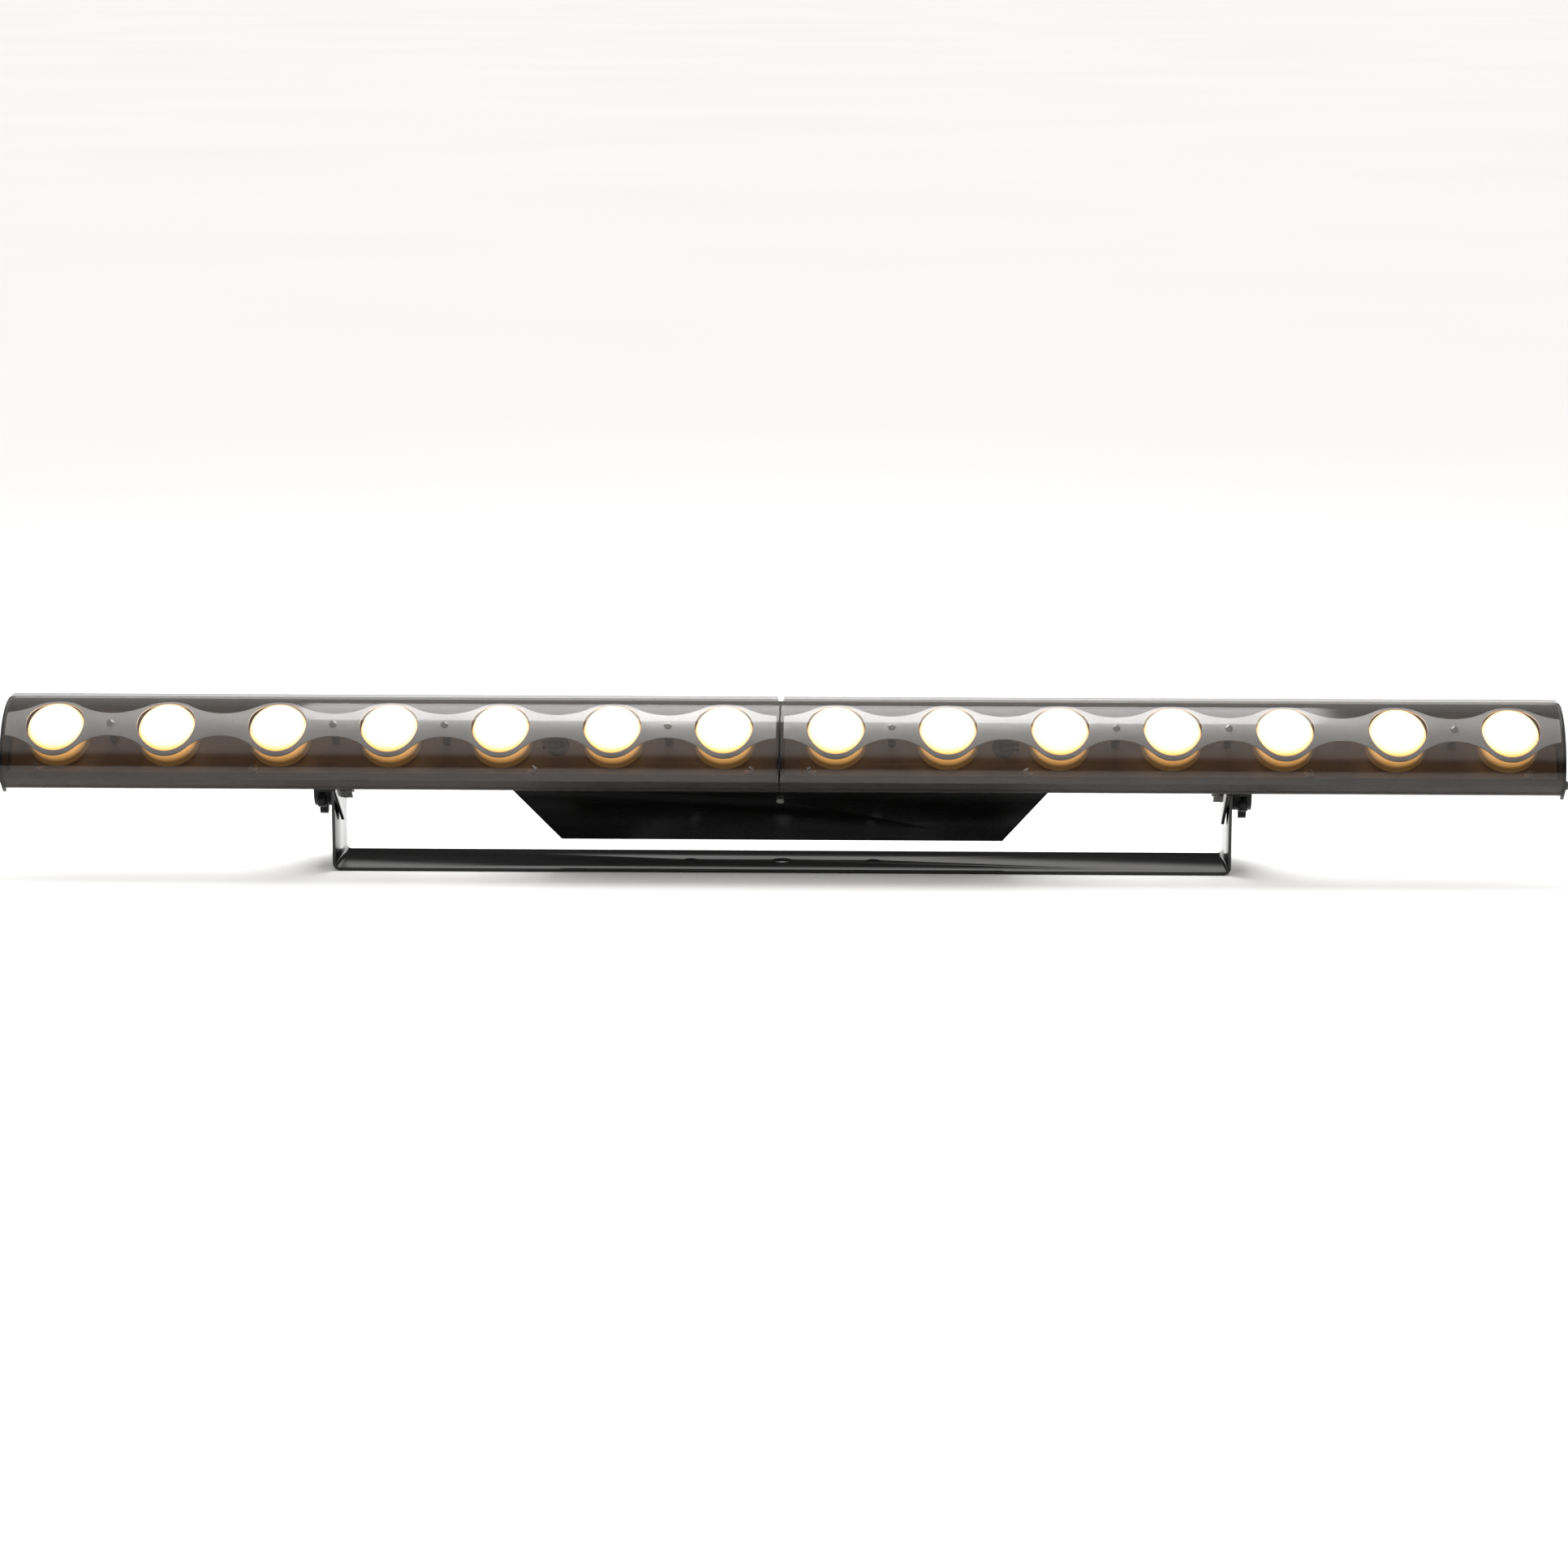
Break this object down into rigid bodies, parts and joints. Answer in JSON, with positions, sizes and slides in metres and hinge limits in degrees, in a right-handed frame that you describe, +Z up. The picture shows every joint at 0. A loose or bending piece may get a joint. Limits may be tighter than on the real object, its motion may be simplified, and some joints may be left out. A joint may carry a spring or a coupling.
{
  "type": "led strip batten",
  "caption": "Long stage light bar: a row of round lenses behind smoked half-round covers, slim power box behind, tilting in a U-shaped yoke with two locking knobs.",
  "frame": {"origin": "centre of the yoke's clamp hole, on the underside of the crossbar", "axes": "+X along the bar towards the end with the signal sockets, -Y towards the audience, +Z up from the crossbar to the bar"},
  "size_m": [1.008, 0.0996, 0.1151],
  "materials": {
    "powder_black": "satin black powder coat",
    "anodised_black": "black anodised",
    "sheet_black": "gloss black",
    "smoked_clear": "smoked, polished",
    "lens_clear": "clear, lit from behind",
    "emitter": "phosphor",
    "board": "black solder mask",
    "board_green": "solder mask",
    "plastic_black": "matte",
    "plastic_grey": "matte",
    "plastic_blue": "matte",
    "plastic_red": "smoked red",
    "band": "satin",
    "zinc": "zinc plated",
    "steel_black": "black oxide",
    "die_cast": "cast, nickel plated",
    "grommet": "matte",
    "fibre": "fibre",
    "wire_red": "insulated wire",
    "wire_black": "insulated wire",
    "wire_grey": "insulated wire"
  },
  "bodies": {
    "yoke": {"yoke": "powder_black", "knob_washers": "zinc"},
    "bar": {"friction_washers": "fibre", "housing": "anodised_black", "end_plate_left": "powder_black", "end_plate_right": "powder_black", "end_plate_screws": "steel_black", "centre_divider": "plastic_black", "cover_left": "smoked_clear", "cover_right": "smoked_clear", "led_board_left": "board", "led_board_right": "board", "board_screws": "zinc", "emitters": "emitter", "lens_holders": "plastic_black", "lenses": "lens_clear", "trim_band_left": "band", "trim_band_right": "band", "band_posts": "plastic_black", "band_screws": "zinc", "power_box": "sheet_black", "back_panel": "sheet_black", "panel_screws": "zinc", "box_side_screws": "zinc", "box_foot_screws": "zinc", "power_supply": "die_cast", "supply_terminals": "board_green", "control_board": "board_green", "display_module": "plastic_black", "display_window": "plastic_red", "power_inlet": "plastic_blue", "power_outlet": "plastic_grey", "signal_inlet": "die_cast", "signal_outlet": "die_cast", "connector_screws": "steel_black", "fuse_holder": "plastic_black", "fuse_link": "zinc", "safety_eye": "zinc", "safety_eye_screws": "steel_black", "ear_left": "powder_black", "ear_right": "powder_black", "ear_screws": "steel_black", "ear_nuts": "zinc", "feed_grommets": "grommet", "mains_wiring": "wire_black", "board_wiring": "wire_red", "signal_wiring": "wire_grey"},
    "knob_left": {"knob_left": "plastic_black", "stud_left": "zinc"},
    "knob_right": {"knob_right": "plastic_black", "stud_right": "zinc"},
    "button_menu": {"button_menu": "plastic_grey"},
    "button_down": {"button_down": "plastic_grey"},
    "button_up": {"button_up": "plastic_grey"},
    "button_enter": {"button_enter": "plastic_grey"},
    "signal_latch": {"signal_latch": "plastic_black"},
    "fuse_cap": {"fuse_cap": "plastic_black"}
  },
  "joints": [
    {"name": "tilt", "type": "hinge", "parent": "yoke", "child": "bar", "pos_m": [0, 0, 0.05], "axis": [1, 0, 0], "range_deg": [-149, 55]},
    {"name": "knob_left_turn", "type": "hinge", "parent": "yoke", "child": "knob_left", "pos_m": [-0.3, 0, 0.05], "axis": [-1, 0, 0], "range_deg": [0, 360]},
    {"name": "knob_right_turn", "type": "hinge", "parent": "yoke", "child": "knob_right", "pos_m": [0.3, 0, 0.05], "axis": [1, 0, 0], "range_deg": [0, 360]},
    {"name": "button_menu_press", "type": "slide", "parent": "bar", "child": "button_menu", "axis": [0, -0.7314, 0.682], "range_m": [0, 0.001], "stiffness_N_per_m": 800},
    {"name": "button_down_press", "type": "slide", "parent": "bar", "child": "button_down", "axis": [0, -0.7314, 0.682], "range_m": [0, 0.001], "stiffness_N_per_m": 800},
    {"name": "button_up_press", "type": "slide", "parent": "bar", "child": "button_up", "axis": [0, -0.7314, 0.682], "range_m": [0, 0.001], "stiffness_N_per_m": 800},
    {"name": "button_enter_press", "type": "slide", "parent": "bar", "child": "button_enter", "axis": [0, -0.7314, 0.682], "range_m": [0, 0.001], "stiffness_N_per_m": 800},
    {"name": "signal_latch_press", "type": "slide", "parent": "bar", "child": "signal_latch", "axis": [0, -0.7314, 0.682], "range_m": [0, 0.0014], "stiffness_N_per_m": 800},
    {"name": "fuse_cap_turn", "type": "hinge", "parent": "bar", "child": "fuse_cap", "pos_m": [0.05, 0.01463, 0.03636], "axis": [0, -0.7314, 0.682], "range_deg": [0, 90]}
  ]
}
